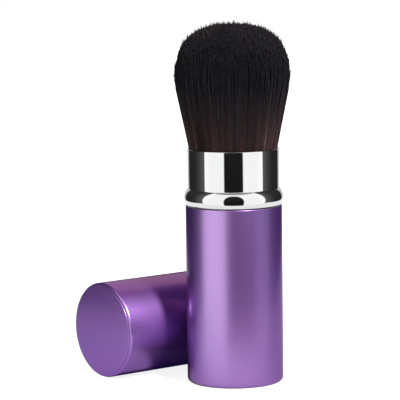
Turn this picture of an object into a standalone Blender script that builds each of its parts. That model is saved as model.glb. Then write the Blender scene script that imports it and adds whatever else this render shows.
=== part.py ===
"""A retractable powder brush standing on its case, with its cap lying beside it.

The case, with the bristles on a post inside it, is one body. A chrome collar on a long tube
slides up out of the case and gathers the bristles, so that the cap can go on.
Metres, +Z up. The origin is the middle of the case's flat base, and the cap lies along +X.
"""

import math

import bmesh
import bpy
from mathutils import Matrix, Vector

# Clearances
BOND_GAP = 0.00015
SEAT_GAP = 0.0003
SLIDE_GAP = 0.0002
THREAD_GAP = 0.00015

# Case shell, drawn from aluminium
CASE_RADIUS = 0.016
CASE_HEIGHT = 0.059
SHELL_WALL = 0.0005
SHELL_FLOOR = 0.0006
CASE_EDGE_RADIUS = 0.0015

# Weight in the base
WEIGHT_THICKNESS = 0.0024
WEIGHT_EDGE_GAP = 0.0003
WEIGHT_CHAMFER = 0.0003

# Plastic liner with three guide ribs
LINER_WALL = 0.00065
LINER_FLOOR = 0.0014
RIB_DEPTH = 0.0003
RIB_WIDTH = 0.0016
RIB_COUNT = 3

# Bush in the mouth of the case, and its two drag rings
BUSH_HEIGHT = 0.0106
DRAG_RING_SECTION = 0.00072
DRAG_RING_GAP = 0.0001
GROOVE_PLAY = 0.00015
DRAG_RING_HEIGHT_SHARES = (0.27, 0.73)
DRAG_RING_SIDES = 6

# Sliding tube and its foot ring
STOP_LIP = 0.00065
TUBE_WALL = 0.00065
TUBE_STEP_HEIGHT = 0.0008
TUBE_STEP_RISE = 0.0011
TUBE_MOUTH_DROP = 0.0077
FOOT_CLEARANCE = 0.0006
FOOT_HEIGHT = 0.0038
FOOT_FLANGE = 0.0009

# Cap shell and its thin liner
CAP_LENGTH = 0.059
CAP_WALL = 0.00035
CAP_END = 0.0006
CAP_EDGE_RADIUS = 0.0006
CAP_LINER_WALL = 0.00025
CAP_LINER_END = 0.0006
CAP_LINER_INSET = 0.0005
CAP_BOND_GAP = 0.0001
CAP_FIT_GAP = 0.0001

# Where the cap lies: its closed end looks along -X
CAP_SPACING = 0.0020
CAP_CLOSED_END_X = -0.0299

# Chrome collar with a rolled bead
COLLAR_HEIGHT = 0.0186
COLLAR_WALL = 0.0004
COLLAR_RIM_CHAMFER = 0.00012
BEAD_RADIUS = 0.0045
BEAD_DROP = 0.00235
BEAD_OVERHANG = 0.0005
BEAD_FILLET = 0.0003
CORE_RISE = 0.0018

# Post that carries the brush head, with four gussets
POST_RADIUS = 0.0046
POST_FLANGE_RADIUS = 0.0088
POST_FLANGE = 0.0015
GUSSET_COUNT = 4
GUSSET_THICKNESS = 0.0012
GUSSET_HEIGHT = 0.009
GUSSET_EDGE_INSET = 0.0006

# Screws and washer
SCREW_RADIUS = 0.0011
SCREW_LENGTH = 0.009
SCREW_POINT = 0.0012
SCREW_BORE_EXTRA = 0.001
SCREW_HEAD_RADIUS = 0.0023
SCREW_HEAD = 0.0014
SCREW_HEAD_CROWN = 0.0004
RECESS_WIDTH = 0.0005
RECESS_DEPTH = 0.0007
WASHER_RADIUS = 0.0032
WASHER_THICKNESS = 0.0005
WASHER_SURROUND = 0.0008

# Cup that holds the bristles
CUP_RECESS = 0.0023
CUP_DEPTH = 0.0122
CUP_WALL = 0.0005
CUP_FLOOR = 0.0008
CUP_CHAMFER = 0.0003
SPIGOT_LENGTH = 0.005
SPIGOT_WALL = 0.001

# Resin, binding band and the slice that the bristles are fused to
RESIN_THICKNESS = 0.0038
RESIN_HEAD_GAP = 0.0003
BAND_HEIGHT = 0.0036
BAND_WALL = 0.00025
SLICE_THICKNESS = 0.0015

# Bristles
STRAND_COUNT = 306
STRAND_ROOT_RADIUS = 0.0004
STRAND_MOUTH_RADIUS = 0.00056
STRAND_SHOULDER_RADIUS = 0.00078
STRAND_BURIED = 0.0008
STRAND_MOUTH_DROP = 0.0004
HAIR_GAP = 0.0002
TUFT_RADIUS = 0.0189
TUFT_RISE = 0.0238
TUFT_DOME = 0.0173
DOME_POWER = 2.35
SHOULDER_SHARE = 0.8

# Facets round a turned piece
TURN_STEPS = 36
SMALL_STEPS = 20
CUT_OVERRUN = 0.001
MERGE_DISTANCE = 0.00001
SHARP_ANGLE = math.radians(32.0)

# Radii, from the case's outside inwards
shell_bore = CASE_RADIUS - SHELL_WALL
liner_radius = shell_bore - BOND_GAP
liner_bore = liner_radius - LINER_WALL
foot_radius = liner_bore - SLIDE_GAP
tube_radius = foot_radius - STOP_LIP
tube_bore = tube_radius - TUBE_WALL
bush_bore = tube_radius + SLIDE_GAP
cup_radius = tube_bore - SLIDE_GAP - BOND_GAP / 2
cup_bore = cup_radius - CUP_WALL
band_radius = cup_bore - BOND_GAP
band_bore = band_radius - BAND_WALL
slice_radius = band_bore - BOND_GAP

# Radii of the cap and of the collar that it fits over
cap_radius = CASE_RADIUS
cap_shell_bore = cap_radius - CAP_WALL
cap_liner_radius = cap_shell_bore - CAP_BOND_GAP
cap_liner_bore = cap_liner_radius - CAP_LINER_WALL
collar_radius = cap_liner_bore - CAP_FIT_GAP
collar_bore = collar_radius - COLLAR_WALL
tube_top_radius = collar_bore - CAP_BOND_GAP
tube_top_bore = tube_top_radius - TUBE_WALL

# Heights, from the base up
liner_skirt_z = SHELL_FLOOR + CASE_EDGE_RADIUS - SHELL_WALL
weight_z = SHELL_FLOOR + SEAT_GAP
liner_under_z = weight_z + WEIGHT_THICKNESS + SEAT_GAP
liner_floor_z = liner_under_z + LINER_FLOOR
post_z = liner_floor_z + SEAT_GAP
foot_z = liner_floor_z + FOOT_CLEARANCE
foot_top_z = foot_z + FOOT_HEIGHT
tube_z = foot_z + FOOT_FLANGE + SEAT_GAP
bush_z = CASE_HEIGHT - BUSH_HEIGHT
liner_top_z = bush_z - SEAT_GAP
collar_z = CASE_HEIGHT + SEAT_GAP
mouth_z = collar_z + COLLAR_HEIGHT
tube_top_z = mouth_z - TUBE_MOUTH_DROP
cup_top_z = CASE_HEIGHT - CUP_RECESS
cup_floor_z = cup_top_z - CUP_DEPTH
cup_under_z = cup_floor_z - CUP_FLOOR
post_top_z = cup_under_z - SEAT_GAP
resin_z = cup_floor_z + SEAT_GAP
slice_z = resin_z + RESIN_THICKNESS + SEAT_GAP
root_z = slice_z + SLICE_THICKNESS

# Bead of the collar: an arc in section, closed below by a flat underside
bead_centre_r = CASE_RADIUS + BEAD_OVERHANG - BEAD_RADIUS
bead_centre_z = collar_z + BEAD_DROP

# A facet's middle is nearer to the axis than its corners, by this share
FACET_SHARE = math.cos(math.pi / TURN_STEPS)


def clear_scene():
    for obj in list(bpy.data.objects):
        bpy.data.objects.remove(obj, do_unlink=True)


def make_collection(name):
    collection = bpy.data.collections.new(name)
    bpy.context.scene.collection.children.link(collection)
    return collection


def make_material(name, colour, roughness, metallic):
    material = bpy.data.materials.new(name)
    material.use_nodes = True
    shader = material.node_tree.nodes["Principled BSDF"]
    shader.inputs["Base Color"].default_value = (*colour, 1.0)
    shader.inputs["Roughness"].default_value = roughness
    shader.inputs["Metallic"].default_value = metallic
    material.diffuse_color = (*colour, 1.0)
    return material


def add_piece(name, data, material, parent):
    """Puts a mesh or a curve in the brush's collection as a named piece."""
    data.name = name
    data.materials.clear()
    data.materials.append(material)
    piece = bpy.data.objects.new(name, data)
    PIECES.objects.link(piece)
    piece.parent = parent
    return piece


def add_helper(name, data):
    """A cutter or a guide, which isn't part of the brush."""
    helper = bpy.data.objects.new(name, data)
    HELPERS.objects.link(helper)
    helper.hide_render = True
    helper.display_type = "WIRE"
    return helper


def add_empty(name, location, rotation=(0.0, 0.0, 0.0)):
    empty = bpy.data.objects.new(name, None)
    PIECES.objects.link(empty)
    empty.location = location
    empty.rotation_euler = rotation
    return empty


def arc(centre, radius, start, end, segments):
    """Points (r, z) of an arc about centre, from start to end in degrees, both ends kept."""
    angles = [math.radians(start + (end - start) * i / segments) for i in range(segments + 1)]
    return [(centre[0] + radius * math.cos(a), centre[1] + radius * math.sin(a)) for a in angles]


def turned(name, profile, material, parent, steps=TURN_STEPS, ring=True):
    """Turns a profile of (r, z) points about Z. A ring's profile is a closed loop clear of the
    axis, and any other starts and ends on the axis. Each runs down its outer side."""
    mesh = bpy.data.meshes.new(name)
    count = len(profile)
    edges = [(i, i + 1) for i in range(count - 1)]
    if ring:
        edges.append((count - 1, 0))
    mesh.from_pydata([(r, 0.0, z) for r, z in profile], edges, [])
    piece = add_piece(name, mesh, material, parent)
    screw = piece.modifiers.new("Turn", "SCREW")
    screw.axis = "Z"
    screw.angle = math.tau
    screw.steps = steps
    screw.render_steps = steps
    screw.use_merge_vertices = True
    screw.merge_threshold = MERGE_DISTANCE
    return piece


def spokes_mesh(name, count, inner, outer, width, low, high, top_outer=None):
    """Boxes that stand like spokes round Z, from radius inner to radius outer. With top_outer
    their upper outer edges are drawn in to that radius."""
    bm = bmesh.new()
    for i in range(count):
        made = bmesh.ops.create_cube(bm, size=1.0)["verts"]
        for vert in made:
            upper = vert.co.z > 0
            edge = outer if top_outer is None or not upper else top_outer
            vert.co.x = edge if vert.co.x > 0 else inner
            vert.co.y *= width
            vert.co.z = high if upper else low
        turn = Matrix.Rotation(math.tau * i / count, 3, "Z")
        bmesh.ops.rotate(bm, verts=made, cent=(0.0, 0.0, 0.0), matrix=turn)
    mesh = bpy.data.meshes.new(name)
    bm.to_mesh(mesh)
    bm.free()
    return mesh


def combine(piece, helper, operation):
    boolean = piece.modifiers.new(operation.title(), "BOOLEAN")
    boolean.operation = operation
    boolean.object = helper
    boolean.solver = "EXACT"


def closed_tube_profile(radius, length, wall, floor, edge):
    """A tube closed by a floor at z 0, open at z length, its outer edge rounded."""
    bore = radius - wall
    inner_edge = edge - wall
    inside = arc((bore - inner_edge, floor + inner_edge), inner_edge, -90.0, 0.0, 2)
    outside = arc((radius - edge, edge), edge, 0.0, -90.0, 4)
    return [(0.0, floor), *inside, (bore, length), (radius, length), *outside, (0.0, 0.0)]


def make_case_shell():
    profile = closed_tube_profile(
        CASE_RADIUS, CASE_HEIGHT, SHELL_WALL, SHELL_FLOOR, CASE_EDGE_RADIUS
    )
    turned("case_shell", profile, PURPLE, CASE, ring=False)


def make_base_weight():
    radius = liner_bore - WEIGHT_EDGE_GAP
    hole = WASHER_RADIUS + WASHER_SURROUND
    low = weight_z
    high = weight_z + WEIGHT_THICKNESS
    profile = [
        (hole, high),
        (radius - WEIGHT_CHAMFER, high),
        (radius, high - WEIGHT_CHAMFER),
        (radius, low + WEIGHT_CHAMFER),
        (radius - WEIGHT_CHAMFER, low),
        (hole, low),
    ]
    turned("base_weight", profile, STEEL, CASE)


def make_case_liner():
    hole = SCREW_RADIUS + THREAD_GAP
    profile = [
        (liner_bore, liner_top_z),
        (liner_radius, liner_top_z),
        (liner_radius, liner_skirt_z),
        (liner_bore, liner_skirt_z),
        (liner_bore, liner_under_z),
        (hole, liner_under_z),
        (hole, liner_floor_z),
        (liner_bore, liner_floor_z),
    ]
    liner = turned("case_liner", profile, BLACK_PLASTIC, CASE)
    ribs = spokes_mesh(
        "liner_ribs",
        RIB_COUNT,
        liner_bore - RIB_DEPTH,
        liner_bore + LINER_WALL / 2,
        RIB_WIDTH,
        liner_floor_z - LINER_FLOOR / 2,
        liner_top_z - LINER_WALL,
    )
    combine(liner, add_helper("liner_ribs", ribs), "UNION")


def drag_ring_heights():
    return [bush_z + share * BUSH_HEIGHT for share in DRAG_RING_HEIGHT_SHARES]


def make_mouth_bush():
    groove_radius = tube_radius + DRAG_RING_GAP + DRAG_RING_SECTION + GROOVE_PLAY / 2
    half = DRAG_RING_SECTION / 2 + GROOVE_PLAY
    profile = [
        (bush_bore, CASE_HEIGHT),
        (liner_radius, CASE_HEIGHT),
        (liner_radius, bush_z),
        (bush_bore, bush_z),
    ]
    for z in drag_ring_heights():
        profile += [
            (bush_bore, z - half),
            (groove_radius, z - half),
            (groove_radius, z + half),
            (bush_bore, z + half),
        ]
    turned("mouth_bush", profile, WHITE_PLASTIC, CASE)


def make_drag_rings():
    for name, z in zip(("drag_ring_lower", "drag_ring_upper"), drag_ring_heights()):
        bpy.ops.mesh.primitive_torus_add(
            major_segments=TURN_STEPS,
            minor_segments=DRAG_RING_SIDES,
            major_radius=tube_radius + DRAG_RING_GAP + DRAG_RING_SECTION / 2,
            minor_radius=DRAG_RING_SECTION / 2,
        )
        mesh = bpy.context.object.data
        bpy.data.objects.remove(bpy.context.object)
        ring = add_piece(name, mesh, SILICONE, CASE)
        ring.location.z = z


def make_post():
    bore = SCREW_RADIUS + THREAD_GAP
    bore_depth = SCREW_LENGTH + SCREW_BORE_EXTRA - LINER_FLOOR
    flange_z = post_z + POST_FLANGE
    profile = [
        (0.0, post_top_z - bore_depth),
        (bore, post_top_z - bore_depth),
        (bore, post_top_z),
        (POST_RADIUS, post_top_z),
        (POST_RADIUS, flange_z),
        (POST_FLANGE_RADIUS, flange_z),
        (POST_FLANGE_RADIUS, post_z),
        (bore, post_z),
        (bore, post_z + bore_depth),
        (0.0, post_z + bore_depth),
    ]
    post = turned("core_post", profile, BLACK_PLASTIC, CASE, steps=SMALL_STEPS, ring=False)
    gussets = spokes_mesh(
        "post_gussets",
        GUSSET_COUNT,
        POST_RADIUS / 2 + SCREW_RADIUS,
        POST_FLANGE_RADIUS - GUSSET_EDGE_INSET,
        GUSSET_THICKNESS,
        flange_z - POST_FLANGE / 2,
        flange_z + GUSSET_HEIGHT,
        top_outer=POST_RADIUS + GUSSET_EDGE_INSET,
    )
    combine(post, add_helper("post_gussets", gussets), "UNION")


def make_screw(name, head_under_z, head_up):
    """A pan-head screw whose head's underside is at head_under_z."""
    profile = [
        (0.0, SCREW_HEAD),
        (SCREW_HEAD_RADIUS - SCREW_HEAD_CROWN, SCREW_HEAD),
        (SCREW_HEAD_RADIUS, SCREW_HEAD - SCREW_HEAD_CROWN),
        (SCREW_HEAD_RADIUS, 0.0),
        (SCREW_RADIUS, 0.0),
        (SCREW_RADIUS, SCREW_POINT - SCREW_LENGTH),
        (0.0, -SCREW_LENGTH),
    ]
    screw = turned(name, profile, STEEL, CASE, steps=SMALL_STEPS, ring=False)
    screw.location.z = head_under_z
    if not head_up:
        screw.rotation_euler.x = math.pi
    reach = SCREW_HEAD_RADIUS - SCREW_HEAD_CROWN - RECESS_WIDTH / 2
    for label, turn in (("a", 0.0), ("b", math.pi / 2)):
        slot = spokes_mesh(
            f"{name}_slot_{label}",
            1,
            -reach,
            reach,
            RECESS_WIDTH,
            SCREW_HEAD - RECESS_DEPTH,
            SCREW_HEAD + CUT_OVERRUN,
        )
        cutter = add_helper(slot.name, slot)
        cutter.location = screw.location
        cutter.rotation_euler = (screw.rotation_euler.x, 0.0, turn)
        combine(screw, cutter, "DIFFERENCE")


def make_fasteners():
    washer_top = liner_under_z - SEAT_GAP
    washer_low = washer_top - WASHER_THICKNESS
    hole = SCREW_RADIUS + THREAD_GAP
    profile = [
        (hole, washer_top),
        (WASHER_RADIUS, washer_top),
        (WASHER_RADIUS, washer_low),
        (hole, washer_low),
    ]
    turned("screw_washer", profile, STEEL, CASE, steps=SMALL_STEPS)
    make_screw("post_screw", washer_low - SEAT_GAP, head_up=False)
    make_screw("cup_screw", cup_floor_z + SEAT_GAP, head_up=True)


def make_brush_cup():
    hole = SCREW_RADIUS + THREAD_GAP
    spigot_bore = POST_RADIUS + BOND_GAP
    spigot_radius = spigot_bore + SPIGOT_WALL
    spigot_z = cup_under_z - SPIGOT_LENGTH
    profile = [
        (cup_bore, cup_top_z),
        (cup_radius, cup_top_z),
        (cup_radius, cup_under_z + CUP_CHAMFER),
        (cup_radius - CUP_CHAMFER, cup_under_z),
        (spigot_radius, cup_under_z),
        (spigot_radius, spigot_z),
        (spigot_bore, spigot_z),
        (spigot_bore, cup_under_z),
        (hole, cup_under_z),
        (hole, cup_floor_z),
        (cup_bore, cup_floor_z),
    ]
    turned("brush_cup", profile, ALUMINIUM, CASE)


def make_resin_plug():
    top = resin_z + RESIN_THICKNESS
    recess = SCREW_HEAD_RADIUS + RESIN_HEAD_GAP
    recess_top = resin_z + SCREW_HEAD + RESIN_HEAD_GAP
    profile = [
        (0.0, top),
        (band_radius, top),
        (band_radius, resin_z),
        (recess, resin_z),
        (recess, recess_top),
        (0.0, recess_top),
    ]
    turned("resin_plug", profile, RESIN, CASE, ring=False)


def make_binding_band():
    profile = [
        (band_bore, slice_z + BAND_HEIGHT),
        (band_radius, slice_z + BAND_HEIGHT),
        (band_radius, slice_z),
        (band_bore, slice_z),
    ]
    turned("binding_band", profile, ALUMINIUM, CASE)


def strand_spread():
    """Where the outermost strand's centre stands, and its radius, from the slice up to the
    collar's mouth: straight up to the cup's lip, then out as far as the lips leave it room."""
    root = slice_radius * FACET_SHARE - STRAND_ROOT_RADIUS
    drop_z = mouth_z - STRAND_MOUTH_DROP
    lips = ((tube_top_bore, tube_top_z), (collar_bore, drop_z))
    room = [
        (lip * FACET_SHARE - HAIR_GAP - STRAND_MOUTH_RADIUS - root) / (z - cup_top_z)
        for lip, z in lips
    ]
    mouth = root + min(room) * (drop_z - cup_top_z)
    return (
        (root, root_z - STRAND_BURIED, STRAND_ROOT_RADIUS),
        (root, cup_top_z, STRAND_ROOT_RADIUS),
        (mouth, drop_z, STRAND_MOUTH_RADIUS),
    )


def strand_points(share, turn):
    """Centre line of a strand as (point, radius) pairs. share is its distance from the axis as
    a share of the outermost strand's."""
    spread = strand_spread()
    mouth, drop_z, _ = spread[-1]
    widest_z = mouth_z + TUFT_RISE
    tip_z = widest_z + TUFT_DOME * (1.0 - share**DOME_POWER) ** (1.0 / DOME_POWER)
    shoulder_z = drop_z + SHOULDER_SHARE * (tip_z - drop_z)
    grown = min(1.0, (shoulder_z - drop_z) / (widest_z - drop_z))
    shoulder = mouth + (TUFT_RADIUS - mouth) * grown
    stations = (*spread, (shoulder, shoulder_z, STRAND_SHOULDER_RADIUS), (TUFT_RADIUS, tip_z, 0.0))
    return [
        ((share * r * math.cos(turn), share * r * math.sin(turn), z), size)
        for r, z, size in stations
    ]


def make_strands_mesh():
    """Every strand as a three-sided tapered tube with a pointed tip, on a sunflower pattern."""
    section = bpy.data.curves.new("strand_section", "CURVE")
    section.dimensions = "2D"
    outline = section.splines.new("POLY")
    outline.points.add(2)
    for i, point in enumerate(outline.points):
        angle = math.tau * i / 3
        point.co = (math.cos(angle), math.sin(angle), 0.0, 1.0)
    outline.use_cyclic_u = True
    guide = add_helper("strand_section", section)

    curve = bpy.data.curves.new("strands", "CURVE")
    curve.dimensions = "3D"
    curve.bevel_mode = "OBJECT"
    curve.bevel_object = guide
    curve.use_fill_caps = True
    golden_turn = math.pi * (3.0 - math.sqrt(5.0))
    for k in range(STRAND_COUNT):
        share = math.sqrt((k + 0.5) / STRAND_COUNT)
        stations = strand_points(share, k * golden_turn)
        spline = curve.splines.new("POLY")
        spline.points.add(len(stations) - 1)
        for point, (place, size) in zip(spline.points, stations):
            point.co = (*place, 1.0)
            point.radius = size
    return to_mesh(add_helper("strands", curve))


def evaluated_mesh(source):
    bpy.context.view_layer.update()
    graph = bpy.context.evaluated_depsgraph_get()
    return bpy.data.meshes.new_from_object(source.evaluated_get(graph))


def to_mesh(source):
    """The evaluated mesh of a curve, its caps and tips welded. The curve is removed."""
    mesh = evaluated_mesh(source)
    mesh.transform(source.matrix_world)
    bm = bmesh.new()
    bm.from_mesh(mesh)
    bmesh.ops.remove_doubles(bm, verts=bm.verts, dist=MERGE_DISTANCE)
    bmesh.ops.recalc_face_normals(bm, faces=bm.faces)
    bm.to_mesh(mesh)
    bm.free()
    bpy.data.objects.remove(source)
    return mesh


def make_bristle_tuft():
    bm = bmesh.new()
    bmesh.ops.create_cone(
        bm,
        cap_ends=True,
        segments=TURN_STEPS,
        radius1=slice_radius,
        radius2=slice_radius,
        depth=SLICE_THICKNESS,
    )
    middle = Vector((0.0, 0.0, slice_z + SLICE_THICKNESS / 2))
    bmesh.ops.translate(bm, verts=bm.verts, vec=middle)
    mesh = bpy.data.meshes.new("bristle_slice")
    bm.to_mesh(mesh)
    bm.free()
    tuft = add_piece("bristle_tuft", mesh, BRISTLE, CASE)
    combine(tuft, add_helper("strands_joined", make_strands_mesh()), "UNION")


def fillet_place():
    """The angle at which the bead meets the fillet above it, and the fillet's centre."""
    across = collar_radius + BEAD_FILLET - bead_centre_r
    up = math.sqrt((BEAD_RADIUS + BEAD_FILLET) ** 2 - across**2)
    centre = (collar_radius + BEAD_FILLET, bead_centre_z + up)
    return math.degrees(math.atan2(up, across)), centre


def bead_angle(radius, z):
    """The angle at which an arc about the bead's centre is at height z."""
    return math.degrees(math.asin((z - bead_centre_z) / radius))


def make_chrome_collar():
    top_angle, fillet_centre = fillet_place()
    bead_centre = (bead_centre_r, bead_centre_z)
    inner_bead = BEAD_RADIUS - COLLAR_WALL
    chamfer = COLLAR_RIM_CHAMFER
    under_bore = tube_radius + SLIDE_GAP
    floor_z = collar_z + COLLAR_WALL
    profile = [
        (collar_bore, mouth_z - chamfer),
        (collar_bore + chamfer, mouth_z),
        (collar_radius - chamfer, mouth_z),
        (collar_radius, mouth_z - chamfer),
        *arc(fillet_centre, BEAD_FILLET, 180.0, 180.0 + top_angle, 2),
        *arc(bead_centre, BEAD_RADIUS, top_angle, bead_angle(BEAD_RADIUS, collar_z), 6)[1:],
        (under_bore, collar_z),
        (under_bore, floor_z),
        *arc(bead_centre, inner_bead, bead_angle(inner_bead, floor_z), top_angle, 5),
        *arc(fillet_centre, BEAD_FILLET + COLLAR_WALL, 180.0 + top_angle, 180.0, 2)[1:],
    ]
    turned("chrome_collar", profile, CHROME, SLEEVE)


def make_collar_core():
    """Ring that fills the hollow bead and bonds the collar to the tube."""
    radius = BEAD_RADIUS - COLLAR_WALL - BOND_GAP
    bore = tube_top_radius + BOND_GAP
    low = collar_z + COLLAR_WALL + BOND_GAP
    high = bead_centre_z + CORE_RISE
    centre = (bead_centre_r, bead_centre_z)
    barrel = arc(centre, radius, bead_angle(radius, high), bead_angle(radius, low), 4)
    turned("collar_core", [(bore, high), *barrel, (bore, low)], BLACK_PLASTIC, SLEEVE)


def make_sleeve_tube():
    step_z = collar_z + TUBE_STEP_RISE
    widened_z = step_z + TUBE_STEP_HEIGHT
    profile = [
        (tube_top_bore, tube_top_z),
        (tube_top_radius, tube_top_z),
        (tube_top_radius, widened_z),
        (tube_radius, step_z),
        (tube_radius, tube_z),
        (tube_bore, tube_z),
        (tube_bore, step_z),
        (tube_top_bore, widened_z),
    ]
    turned("sleeve_tube", profile, ALUMINIUM, SLEEVE)


def make_foot_ring():
    pocket = tube_radius + BOND_GAP
    flange_top = foot_z + FOOT_FLANGE
    profile = [
        (pocket, foot_top_z),
        (foot_radius, foot_top_z),
        (foot_radius, foot_z),
        (tube_bore, foot_z),
        (tube_bore, flange_top),
        (pocket, flange_top),
    ]
    foot = turned("foot_ring", profile, WHITE_PLASTIC, SLEEVE)
    notches = spokes_mesh(
        "foot_notches",
        RIB_COUNT,
        liner_bore - RIB_DEPTH - SLIDE_GAP,
        foot_radius + CUT_OVERRUN,
        RIB_WIDTH + 2 * SLIDE_GAP,
        foot_z - CUT_OVERRUN,
        foot_top_z + CUT_OVERRUN,
    )
    combine(foot, add_helper("foot_notches", notches), "DIFFERENCE")


def make_cap():
    profile = closed_tube_profile(cap_radius, CAP_LENGTH, CAP_WALL, CAP_END, CAP_EDGE_RADIUS)
    turned("cap_shell", profile, PURPLE, CAP, ring=False)
    low = CAP_END + CAP_BOND_GAP
    floor = low + CAP_LINER_END
    mouth = CAP_LENGTH - CAP_LINER_INSET
    profile = [
        (0.0, floor),
        (cap_liner_bore, floor),
        (cap_liner_bore, mouth),
        (cap_liner_radius, mouth),
        (cap_liner_radius, low),
        (0.0, low),
    ]
    turned("cap_liner", profile, WHITE_PLASTIC, CAP, ring=False)


def shade_pieces():
    """Gives every piece its finished mesh, shaded smooth between its sharp edges."""
    for piece in PIECES.objects:
        if piece.type == "MESH":
            mesh = evaluated_mesh(piece)
            piece.modifiers.clear()
            piece.data = mesh
            mesh.shade_smooth()
            mesh.set_sharp_from_angle(angle=SHARP_ANGLE)


clear_scene()
PIECES = make_collection("powder_brush")
HELPERS = make_collection("cutters")

PURPLE = make_material("purple_anodised", (0.20, 0.075, 0.40), 0.32, 1.0)
CHROME = make_material("chrome", (0.80, 0.80, 0.81), 0.04, 1.0)
ALUMINIUM = make_material("bright_aluminium", (0.72, 0.73, 0.75), 0.22, 1.0)
STEEL = make_material("plated_steel", (0.55, 0.55, 0.56), 0.30, 1.0)
BLACK_PLASTIC = make_material("black_plastic", (0.02, 0.02, 0.022), 0.45, 0.0)
WHITE_PLASTIC = make_material("natural_plastic", (0.75, 0.75, 0.73), 0.40, 0.0)
SILICONE = make_material("silicone", (0.10, 0.10, 0.11), 0.60, 0.0)
RESIN = make_material("resin", (0.45, 0.30, 0.12), 0.25, 0.0)
BRISTLE = make_material("bristle", (0.022, 0.012, 0.012), 0.50, 0.0)

CASE = add_empty("case_frame", Vector((0.0, 0.0, 0.0)))
SLEEVE = add_empty("sleeve_frame", Vector((0.0, 0.0, 0.0)))
CAP = add_empty(
    "cap_frame",
    Vector((CAP_CLOSED_END_X, CASE_RADIUS + cap_radius + CAP_SPACING, cap_radius)),
    (0.0, math.pi / 2, 0.0),
)

make_case_shell()
make_base_weight()
make_case_liner()
make_mouth_bush()
make_drag_rings()
make_post()
make_fasteners()
make_brush_cup()
make_resin_plug()
make_binding_band()
make_bristle_tuft()
make_chrome_collar()
make_collar_core()
make_sleeve_tube()
make_foot_ring()
make_cap()
shade_pieces()
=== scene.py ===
"""Looks of the retractable powder brush: satin purple case and cap, chrome collar, dark bristles.

Metres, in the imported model's frame: +Z runs up the brush, and the cap lies along +X.
"""

import math

import bmesh
import bpy
from mathutils import Matrix, Vector


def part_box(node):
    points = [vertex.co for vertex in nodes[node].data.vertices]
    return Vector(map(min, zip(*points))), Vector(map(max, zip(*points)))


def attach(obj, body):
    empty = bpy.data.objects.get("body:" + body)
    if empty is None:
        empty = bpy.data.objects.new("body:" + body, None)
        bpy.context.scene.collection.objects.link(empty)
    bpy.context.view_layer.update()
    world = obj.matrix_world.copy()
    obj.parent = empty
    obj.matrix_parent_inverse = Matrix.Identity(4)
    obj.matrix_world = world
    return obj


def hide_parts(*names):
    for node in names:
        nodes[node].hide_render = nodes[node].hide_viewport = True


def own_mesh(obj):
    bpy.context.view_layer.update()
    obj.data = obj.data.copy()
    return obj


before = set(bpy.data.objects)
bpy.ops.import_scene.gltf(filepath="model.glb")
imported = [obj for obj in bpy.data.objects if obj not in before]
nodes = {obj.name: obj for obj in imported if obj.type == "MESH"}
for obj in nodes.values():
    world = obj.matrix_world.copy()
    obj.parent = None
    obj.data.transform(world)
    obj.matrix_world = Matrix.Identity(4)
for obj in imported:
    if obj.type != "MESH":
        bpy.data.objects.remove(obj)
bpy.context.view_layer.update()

# Camera, fitted to the photograph's outlines
CAMERA_TURN = math.radians(39.435)
CAMERA_YAW = math.radians(-0.845)
CAMERA_PITCH = math.radians(7.024)
CAMERA_ROLL = math.radians(-0.719)
CAMERA_DISTANCE = 0.7558
CAMERA_HEIGHT = 0.15382
CAMERA_LENS = 207.0
CAMERA_SENSOR = 36.0
CAMERA_CLIP = (0.05, 20.0)

# Sizes of the metal pieces, beside those read from the frame
SHELL_WALL = 0.0005
SHELL_FLOOR = 0.0006
CASE_EDGE_RADIUS = 0.0015
CAP_WALL = 0.00035
CAP_END = 0.0006
CAP_EDGE_RADIUS = 0.0006
CAP_FACE_RADIUS = 0.0148
CAP_FACE_STEP = 0.00018
CAP_FACE_EDGE = 0.00014
CAP_LINER_WALL = 0.00025
RIM_RADIUS = 0.00016
COLLAR_WALL = 0.0004
COLLAR_SEAT = 0.0001
BEAD_RADIUS = 0.0045
BEAD_DROP = 0.00235
BEAD_FILLET = 0.0003
BEAD_CORNER = 0.0005
TUBE_WALL = 0.00065
TUBE_STEP_RISE = 0.0011
TUBE_STEP_HEIGHT = 0.0008
TUBE_GAP = 0.0002
FOOT_LIP = 0.00065

# How finely they are turned
TURN_SEGMENTS = 192
RIM_SEGMENTS = 4
EDGE_SEGMENTS = 14
INNER_EDGE_SEGMENTS = 6
SMOOTH_ANGLE = math.radians(35.0)

# Bristles: the tuft's size and where its strands stand
SECTOR_COUNT = 12
STRANDS_PER_SECTOR = 2400
GOLDEN_SHARE = (math.sqrt(5.0) - 1.0) / 2
ROOT_INSET = 0.0016
ROOT_RISE = 0.0015
MOUTH_GAP = 0.00022
MOUTH_DROP = 0.0003
TUFT_RISE = 0.0238
TUFT_INSET = 0.0003
DOME_POWER = 2.5
FLARE_POWER = 1.15

# Bristles: one strand
STRAND_SIDES = 3
STRAND_SEGMENTS = 7
STRAND_STEP = 1.0 / STRAND_SEGMENTS
STRAND_RADIUS = 0.0001
RING_CROWDING = 2.2
BELLY_SWELL = 0.45
POINT_POWER = 60.0
BLUNTEST_POINT = 0.45

# Bristles: how strands and clumps of them differ. A higher power makes the longer or looser
# clumps rarer, or keeps an effect nearer to the outside.
LENGTH_SCATTER = 0.00015
SPLAY_SCATTER = 0.00025
CLUMP_SIZE = 0.00048
CLUMP_LENGTH = 0.0015
CLUMP_PULL = 0.75
SHORT_LENGTH = 0.008
LOOSE_SPLAY = 0.0010
PROUD_POWER = 11.0
PROUD_TOP = 1.2
PROUD_SLOPE = 1.4
SIDE_POWER = 6.0
OUTER_POWER = 40.0
LOOSE_POWER = 3.0
SEEDS_APART = 10

# Bristles: colours, as they show on a screen
BRISTLE_COLOURS = {
    "black": (26, 25, 30),
    # painted shade at the crown of the dome, where more light falls
    "painted_crown_shade": (15, 14, 18),
    "foot": (68, 47, 47),
    "pale strand": (150, 122, 118),
    "proud tip": (56, 40, 45),
}
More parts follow.
